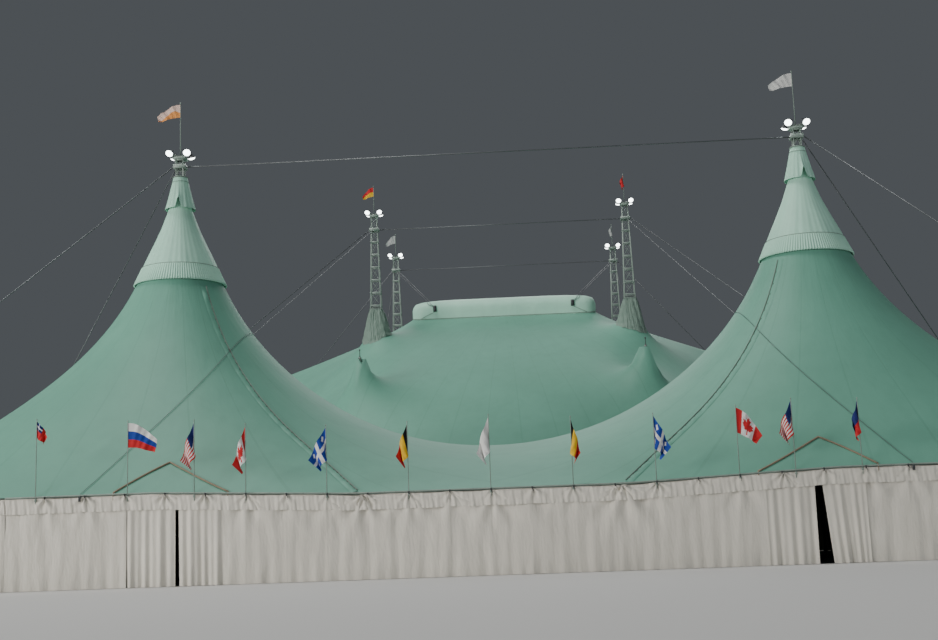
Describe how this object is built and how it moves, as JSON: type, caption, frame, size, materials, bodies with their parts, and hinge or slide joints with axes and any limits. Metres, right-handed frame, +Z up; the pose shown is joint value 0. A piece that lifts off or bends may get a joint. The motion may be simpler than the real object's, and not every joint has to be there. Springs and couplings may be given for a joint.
{
  "type": "circus big top tent, scale model at 1:2",
  "caption": "Circus tent complex: a long entrance hall with twin conical peaks in front of a round big top hung from lattice masts, with a cupola, guys, wall curtains and eave flags.",
  "frame": {"origin": "on the ground, in the middle of the whole footprint with its guy anchors", "axes": "+X to the right along the front wall, +Y from the front wall to the back of the big top, +Z up"},
  "size_m": [34.75, 38.2158, 13.1],
  "materials": {
    "roof_fabric": "coated membrane, pale sea green, faint sheen",
    "hood_fabric": "coated membrane, off-white",
    "wall_fabric": "coated cloth, warm white, matt",
    "boot_fabric": "coated cloth, grey green, creased",
    "mast_steel": "painted, pale grey, satin",
    "cable_steel": "wire rope, dark grey",
    "flag_cloth": "light woven cloth, matt"
  },
  "bodies": {
    "root": {"hall_roof_middle_front": "roof_fabric", "hall_roof_left_front": "roof_fabric", "hall_roof_right_front": "roof_fabric", "hall_roof_middle_back": "roof_fabric", "hall_roof_left_back": "roof_fabric", "hall_roof_right_back": "roof_fabric", "big_roof_front": "roof_fabric", "big_roof_rear": "roof_fabric", "big_roof_left_front": "roof_fabric", "big_roof_left_rear": "roof_fabric", "big_roof_right_front": "roof_fabric", "big_roof_right_rear": "roof_fabric", "hall_hood_left": "hood_fabric", "hall_hood_right": "hood_fabric", "cupola": "hood_fabric", "hall_mast_left": "mast_steel", "hall_mast_right": "mast_steel", "big_mast_front_left": "mast_steel", "big_mast_front_right": "mast_steel", "big_mast_rear_left": "mast_steel", "big_mast_rear_right": "mast_steel", "quarter_pole_front_left": "mast_steel", "quarter_pole_front_right": "mast_steel", "quarter_pole_rear_left": "mast_steel", "quarter_pole_rear_right": "mast_steel", "quarter_pole_side_left": "mast_steel", "quarter_pole_side_right": "mast_steel", "mast_boot_front_left": "boot_fabric", "mast_boot_front_right": "boot_fabric", "mast_boot_rear_left": "boot_fabric", "mast_boot_rear_right": "boot_fabric", "hall_wall_front_middle": "wall_fabric", "hall_wall_front_left": "wall_fabric", "hall_wall_front_right": "wall_fabric", "door_head_left": "wall_fabric", "door_head_right": "wall_fabric", "door_curtain_left_outer": "wall_fabric", "door_curtain_left_inner": "wall_fabric", "door_curtain_right_inner": "wall_fabric", "door_curtain_right_outer": "wall_fabric", "hall_wall_back_left": "wall_fabric", "hall_wall_back_right": "wall_fabric", "hall_wall_end_left": "wall_fabric", "hall_wall_end_right": "wall_fabric", "big_wall_front_left": "wall_fabric", "big_wall_side_left": "wall_fabric", "big_wall_rear_left": "wall_fabric", "big_wall_front_right": "wall_fabric", "big_wall_side_right": "wall_fabric", "big_wall_rear_right": "wall_fabric", "passage": "wall_fabric", "hall_cables": "cable_steel", "big_cables_front": "cable_steel", "big_cables_rear": "cable_steel", "eave_flags": "flag_cloth"}
  },
  "joints": []
}
